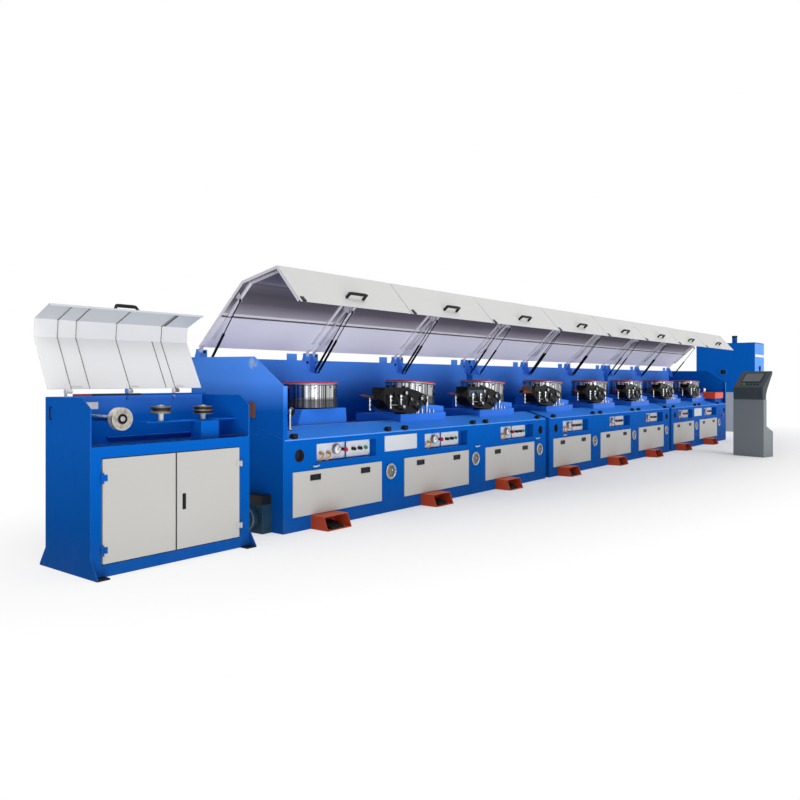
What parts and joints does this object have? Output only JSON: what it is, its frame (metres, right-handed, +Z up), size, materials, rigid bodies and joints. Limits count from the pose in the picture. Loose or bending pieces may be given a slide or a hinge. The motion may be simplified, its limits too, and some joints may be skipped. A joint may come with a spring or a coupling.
{
  "type": "straight wire drawing line with guide stand",
  "caption": "Straight wire drawing line: guide stand, drawing drums on long beds under hinged hoods, console and take-up cabinet.",
  "frame": {"origin": "on the floor, on the underside of the first bed, straight under the first drum's centre", "axes": "+X along the line from the wire's entry to its exit, +Y away from the operator, +Z up"},
  "size_m": [17.873, 3.0492, 2.341],
  "materials": {
    "blue_paint": "gloss enamel",
    "light_grey_paint": "satin enamel",
    "cream_paint": "satin enamel",
    "white_panel": "satin",
    "bright_chrome": "polished",
    "black_rubber": "matt",
    "black_paint": "satin",
    "dark_steel": "oiled",
    "orange_red_paint": "gloss enamel",
    "guard_red_paint": "gloss enamel",
    "drum_steel": "polished with a red rim",
    "cast_wheel": "worn",
    "teal_paint": "satin",
    "console_grey": "textured",
    "base_grey": "satin"
  },
  "bodies": {
    "line": {"bed_1": "blue_paint", "bed_2": "blue_paint", "bed_3": "blue_paint", "back_wall_1": "blue_paint", "back_wall_2": "blue_paint", "back_wall_3": "blue_paint", "bed_doors": "cream_paint", "control_panels": "white_panel", "port_rings": "bright_chrome", "hood_rests": "black_rubber", "drum_podiums": "blue_paint", "die_boxes": "black_paint", "wire_rollers": "dark_steel", "exit_guide": "orange_red_paint", "pedal_guards": "guard_red_paint", "stand_cabinet": "blue_paint", "stand_fittings": "blue_paint", "side_motor": "teal_paint", "console": "console_grey", "takeup_base": "base_grey", "takeup_cabinet": "blue_paint"},
    "drum_1": {"drum_1": "drum_steel"},
    "hood_1": {"hood_1": "light_grey_paint"},
    "strut_barrels_1": {"strut_barrels_1": "black_paint"},
    "strut_rods_1": {"strut_rods_1": "black_paint"},
    "drum_2": {"drum_2": "drum_steel"},
    "hood_2": {"hood_2": "light_grey_paint"},
    "strut_barrels_2": {"strut_barrels_2": "black_paint"},
    "strut_rods_2": {"strut_rods_2": "black_paint"},
    "drum_3": {"drum_3": "drum_steel"},
    "hood_3": {"hood_3": "light_grey_paint"},
    "strut_barrels_3": {"strut_barrels_3": "black_paint"},
    "strut_rods_3": {"strut_rods_3": "black_paint"},
    "drum_4": {"drum_4": "drum_steel"},
    "hood_4": {"hood_4": "light_grey_paint"},
    "strut_barrels_4": {"strut_barrels_4": "black_paint"},
    "strut_rods_4": {"strut_rods_4": "black_paint"},
    "drum_5": {"drum_5": "drum_steel"},
    "hood_5": {"hood_5": "light_grey_paint"},
    "strut_barrels_5": {"strut_barrels_5": "black_paint"},
    "strut_rods_5": {"strut_rods_5": "black_paint"},
    "drum_6": {"drum_6": "drum_steel"},
    "hood_6": {"hood_6": "light_grey_paint"},
    "strut_barrels_6": {"strut_barrels_6": "black_paint"},
    "strut_rods_6": {"strut_rods_6": "black_paint"},
    "drum_7": {"drum_7": "drum_steel"},
    "hood_7": {"hood_7": "light_grey_paint"},
    "strut_barrels_7": {"strut_barrels_7": "black_paint"},
    "strut_rods_7": {"strut_rods_7": "black_paint"},
    "drum_8": {"drum_8": "drum_steel"},
    "hood_8": {"hood_8": "light_grey_paint"},
    "strut_barrels_8": {"strut_barrels_8": "black_paint"},
    "strut_rods_8": {"strut_rods_8": "black_paint"},
    "stand_hood": {"stand_hood": "light_grey_paint"},
    "stand_door_left": {"stand_door_left": "cream_paint"},
    "stand_door_right": {"stand_door_right": "cream_paint"},
    "stand_sheave": {"stand_sheave": "cast_wheel"},
    "stand_pulley_single": {"stand_pulley_single": "cast_wheel"},
    "stand_pulley_double": {"stand_pulley_double": "cast_wheel"}
  },
  "joints": [
    {"name": "drum_1_turn", "type": "hinge", "parent": "line", "child": "drum_1", "pos_m": [0, 0, 1.115], "axis": [0, 0, 1], "continuous": true},
    {"name": "hood_1_close", "type": "hinge", "parent": "line", "child": "hood_1", "pos_m": [0, 0.66, 1.514], "axis": [1, 0, 0], "range_deg": [0, 45]},
    {"name": "strut_1_swing", "type": "hinge", "parent": "line", "child": "strut_barrels_1", "pos_m": [0, 0.58, 1.334], "axis": [1, 0, 0], "range_deg": [0, 43.8]},
    {"name": "strut_1_slide", "type": "slide", "parent": "strut_barrels_1", "child": "strut_rods_1", "axis": [0, -0.6233, 0.782], "range_m": [-0.15005, 0]},
    {"name": "drum_2_turn", "type": "hinge", "parent": "line", "child": "drum_2", "pos_m": [1.549, 0, 1.115], "axis": [0.0872, 0, 0.9962], "continuous": true},
    {"name": "hood_2_close", "type": "hinge", "parent": "line", "child": "hood_2", "pos_m": [1.549, 0.66, 1.514], "axis": [1, 0, 0], "range_deg": [0, 45]},
    {"name": "strut_2_swing", "type": "hinge", "parent": "line", "child": "strut_barrels_2", "pos_m": [1.549, 0.58, 1.334], "axis": [1, 0, 0], "range_deg": [0, 43.8]},
    {"name": "strut_2_slide", "type": "slide", "parent": "strut_barrels_2", "child": "strut_rods_2", "axis": [0, -0.6233, 0.782], "range_m": [-0.15005, 0]},
    {"name": "drum_3_turn", "type": "hinge", "parent": "line", "child": "drum_3", "pos_m": [3.024, 0, 1.115], "axis": [0.0872, 0, 0.9962], "continuous": true},
    {"name": "hood_3_close", "type": "hinge", "parent": "line", "child": "hood_3", "pos_m": [3.024, 0.66, 1.514], "axis": [1, 0, 0], "range_deg": [0, 45]},
    {"name": "strut_3_swing", "type": "hinge", "parent": "line", "child": "strut_barrels_3", "pos_m": [3.024, 0.58, 1.334], "axis": [1, 0, 0], "range_deg": [0, 43.8]},
    {"name": "strut_3_slide", "type": "slide", "parent": "strut_barrels_3", "child": "strut_rods_3", "axis": [0, -0.6233, 0.782], "range_m": [-0.15005, 0]},
    {"name": "drum_4_turn", "type": "hinge", "parent": "line", "child": "drum_4", "pos_m": [4.6, 0, 1.115], "axis": [0.0872, 0, 0.9962], "continuous": true},
    {"name": "hood_4_close", "type": "hinge", "parent": "line", "child": "hood_4", "pos_m": [4.6, 0.66, 1.514], "axis": [1, 0, 0], "range_deg": [0, 45]},
    {"name": "strut_4_swing", "type": "hinge", "parent": "line", "child": "strut_barrels_4", "pos_m": [4.6, 0.58, 1.334], "axis": [1, 0, 0], "range_deg": [0, 43.8]},
    {"name": "strut_4_slide", "type": "slide", "parent": "strut_barrels_4", "child": "strut_rods_4", "axis": [0, -0.6233, 0.782], "range_m": [-0.15005, 0]},
    {"name": "drum_5_turn", "type": "hinge", "parent": "line", "child": "drum_5", "pos_m": [6.149, 0, 1.115], "axis": [0.0872, 0, 0.9962], "continuous": true},
    {"name": "hood_5_close", "type": "hinge", "parent": "line", "child": "hood_5", "pos_m": [6.149, 0.66, 1.514], "axis": [1, 0, 0], "range_deg": [0, 45]},
    {"name": "strut_5_swing", "type": "hinge", "parent": "line", "child": "strut_barrels_5", "pos_m": [6.149, 0.58, 1.334], "axis": [1, 0, 0], "range_deg": [0, 43.8]},
    {"name": "strut_5_slide", "type": "slide", "parent": "strut_barrels_5", "child": "strut_rods_5", "axis": [0, -0.6233, 0.782], "range_m": [-0.15005, 0]},
    {"name": "drum_6_turn", "type": "hinge", "parent": "line", "child": "drum_6", "pos_m": [7.624, 0, 1.115], "axis": [0.0872, 0, 0.9962], "continuous": true},
    {"name": "hood_6_close", "type": "hinge", "parent": "line", "child": "hood_6", "pos_m": [7.624, 0.66, 1.514], "axis": [1, 0, 0], "range_deg": [0, 45]},
    {"name": "strut_6_swing", "type": "hinge", "parent": "line", "child": "strut_barrels_6", "pos_m": [7.624, 0.58, 1.334], "axis": [1, 0, 0], "range_deg": [0, 43.8]},
    {"name": "strut_6_slide", "type": "slide", "parent": "strut_barrels_6", "child": "strut_rods_6", "axis": [0, -0.6233, 0.782], "range_m": [-0.15005, 0]},
    {"name": "drum_7_turn", "type": "hinge", "parent": "line", "child": "drum_7", "pos_m": [9.2, 0, 1.115], "axis": [0.0872, 0, 0.9962], "continuous": true},
    {"name": "hood_7_close", "type": "hinge", "parent": "line", "child": "hood_7", "pos_m": [9.2, 0.66, 1.514], "axis": [1, 0, 0], "range_deg": [0, 45]},
    {"name": "strut_7_swing", "type": "hinge", "parent": "line", "child": "strut_barrels_7", "pos_m": [9.2, 0.58, 1.334], "axis": [1, 0, 0], "range_deg": [0, 43.8]},
    {"name": "strut_7_slide", "type": "slide", "parent": "strut_barrels_7", "child": "strut_rods_7", "axis": [0, -0.6233, 0.782], "range_m": [-0.15005, 0]},
    {"name": "drum_8_turn", "type": "hinge", "parent": "line", "child": "drum_8", "pos_m": [10.749, 0, 1.115], "axis": [0.0872, 0, 0.9962], "continuous": true},
    {"name": "hood_8_close", "type": "hinge", "parent": "line", "child": "hood_8", "pos_m": [10.749, 0.66, 1.514], "axis": [1, 0, 0], "range_deg": [0, 45]},
    {"name": "strut_8_swing", "type": "hinge", "parent": "line", "child": "strut_barrels_8", "pos_m": [10.749, 0.58, 1.334], "axis": [1, 0, 0], "range_deg": [0, 43.8]},
    {"name": "strut_8_slide", "type": "slide", "parent": "strut_barrels_8", "child": "strut_rods_8", "axis": [0, -0.6233, 0.782], "range_m": [-0.15005, 0]},
    {"name": "stand_hood_close", "type": "hinge", "parent": "line", "child": "stand_hood", "pos_m": [-1.857, -0.054, 1.169], "axis": [1, 0, 0], "range_deg": [0, 120]},
    {"name": "stand_door_left_open", "type": "hinge", "parent": "line", "child": "stand_door_left", "pos_m": [-2.419, -0.627, 0.083], "axis": [0, 0, -1], "range_deg": [0, 110]},
    {"name": "stand_door_right_open", "type": "hinge", "parent": "line", "child": "stand_door_right", "pos_m": [-1.309, -0.627, 0.083], "axis": [0, 0, 1], "range_deg": [0, 110]},
    {"name": "stand_sheave_turn", "type": "hinge", "parent": "line", "child": "stand_sheave", "pos_m": [-2.233, -0.52, 0.993], "axis": [0, 1, 0], "continuous": true},
    {"name": "stand_pulley_single_turn", "type": "hinge", "parent": "line", "child": "stand_pulley_single", "pos_m": [-1.856, -0.42, 1.014], "axis": [0, 0, 1], "continuous": true},
    {"name": "stand_pulley_double_turn", "type": "hinge", "parent": "line", "child": "stand_pulley_double", "pos_m": [-1.498, -0.42, 1], "axis": [0, 0, 1], "continuous": true}
  ],
  "couplings": [
    {"joint": "strut_1_swing", "follows": "hood_1_close", "ratio": 0.97326},
    {"joint": "strut_1_slide", "follows": "hood_1_close", "m_per_rad": -0.19105},
    {"joint": "strut_2_swing", "follows": "hood_2_close", "ratio": 0.97326},
    {"joint": "strut_2_slide", "follows": "hood_2_close", "m_per_rad": -0.19105},
    {"joint": "strut_3_swing", "follows": "hood_3_close", "ratio": 0.97326},
    {"joint": "strut_3_slide", "follows": "hood_3_close", "m_per_rad": -0.19105},
    {"joint": "strut_4_swing", "follows": "hood_4_close", "ratio": 0.97326},
    {"joint": "strut_4_slide", "follows": "hood_4_close", "m_per_rad": -0.19105},
    {"joint": "strut_5_swing", "follows": "hood_5_close", "ratio": 0.97326},
    {"joint": "strut_5_slide", "follows": "hood_5_close", "m_per_rad": -0.19105},
    {"joint": "strut_6_swing", "follows": "hood_6_close", "ratio": 0.97326},
    {"joint": "strut_6_slide", "follows": "hood_6_close", "m_per_rad": -0.19105},
    {"joint": "strut_7_swing", "follows": "hood_7_close", "ratio": 0.97326},
    {"joint": "strut_7_slide", "follows": "hood_7_close", "m_per_rad": -0.19105},
    {"joint": "strut_8_swing", "follows": "hood_8_close", "ratio": 0.97326},
    {"joint": "strut_8_slide", "follows": "hood_8_close", "m_per_rad": -0.19105}
  ]
}
